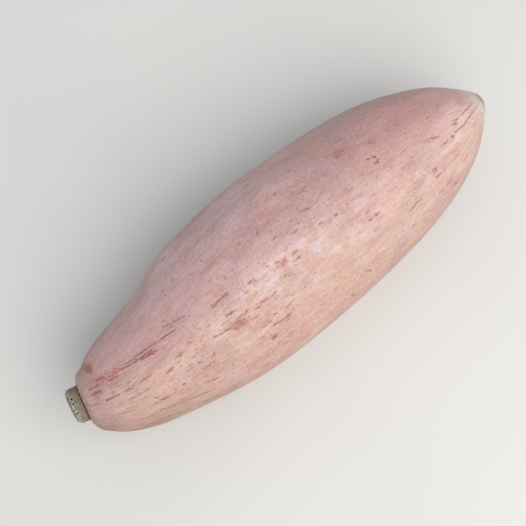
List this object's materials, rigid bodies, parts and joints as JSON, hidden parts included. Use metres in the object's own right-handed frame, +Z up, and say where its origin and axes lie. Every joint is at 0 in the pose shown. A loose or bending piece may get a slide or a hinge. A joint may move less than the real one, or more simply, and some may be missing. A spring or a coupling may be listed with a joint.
{
  "type": "banana squash",
  "caption": "Long pink winter squash lying on its side: a tapered oblong fruit with soft ribs, a blossom scar and the corky stub of its cut stem.",
  "frame": {"origin": "on the ground under the middle of the fruit's bounding box", "axes": "+X runs along the fruit from the cut stem to the blossom end, +Y is across it to the side where its outline swells in an S, +Z is up"},
  "size_m": [0.4817, 0.1585, 0.1515],
  "materials": {
    "squash_skin": "smooth dry winter squash skin, pink to salmon with rust streaks and flecks, low sheen",
    "stem_cork": "dry corky cut stem, matte, with a paler cut face"
  },
  "bodies": {
    "root": {"fruit": "squash_skin", "stem_stub": "stem_cork"}
  },
  "joints": []
}
